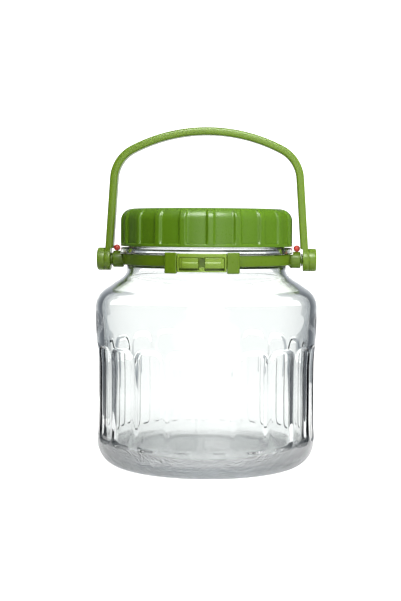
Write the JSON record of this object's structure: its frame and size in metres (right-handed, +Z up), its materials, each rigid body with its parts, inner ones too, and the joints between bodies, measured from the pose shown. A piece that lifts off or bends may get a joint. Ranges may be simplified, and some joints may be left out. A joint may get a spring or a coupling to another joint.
{
  "type": "glass storage jar",
  "caption": "Wide-mouth fluted glass storage jar with a ribbed screw lid, a clasped neck band and a swinging carry handle.",
  "frame": {"origin": "centre of the foot, in the plane that the jar stands on", "axes": "+Z up along the jar's axis, +X along the handle's pivot axis, clasp towards -Y"},
  "size_m": [0.165, 0.165, 0.2511],
  "materials": {
    "glass": "clear pressed glass",
    "lid": "moulded satin gloss",
    "liner": "soft moulded",
    "band": "moulded satin gloss",
    "clasp": "moulded satin gloss",
    "handle": "moulded satin gloss",
    "pivot": "moulded satin gloss",
    "lock_pin": "moulded satin gloss"
  },
  "bodies": {
    "jar": {"glass_jar": "glass", "neck_band": "band", "clasp_frame": "clasp", "pivot_pin_left": "pivot", "pivot_pin_right": "pivot", "pivot_cap_left": "pivot", "pivot_cap_right": "pivot", "lock_pin_left": "lock_pin", "lock_pin_right": "lock_pin"},
    "handle": {"carry_handle": "handle"},
    "tab_left": {"clasp_tab_left": "clasp"},
    "tab_right": {"clasp_tab_right": "clasp"},
    "liner": {"lid_liner": "liner"},
    "lid": {"lid_shell": "lid"}
  },
  "joints": [
    {"name": "handle_swing", "type": "hinge", "parent": "jar", "child": "handle", "pos_m": [0, 0, 0.15333], "axis": [1, 0, 0], "range_deg": [-112, 112]},
    {"name": "lid_rise", "type": "slide", "parent": "jar", "child": "liner", "axis": [0, 0, 1], "range_m": [0, 0.03]},
    {"name": "lid_turn", "type": "hinge", "parent": "liner", "child": "lid", "pos_m": [0, 0, 0.175], "axis": [0, 0, 1], "range_deg": [0, 1351]},
    {"name": "tab_left_press", "type": "slide", "parent": "jar", "child": "tab_left", "axis": [0, 1, 0], "range_m": [0, 0.0014], "stiffness_N_per_m": 2000},
    {"name": "tab_right_press", "type": "slide", "parent": "jar", "child": "tab_right", "axis": [0, 1, 0], "range_m": [0, 0.0014], "stiffness_N_per_m": 2000}
  ],
  "couplings": [
    {"joint": "lid_turn", "follows": "lid_rise", "rad_per_m": 785.4}
  ]
}
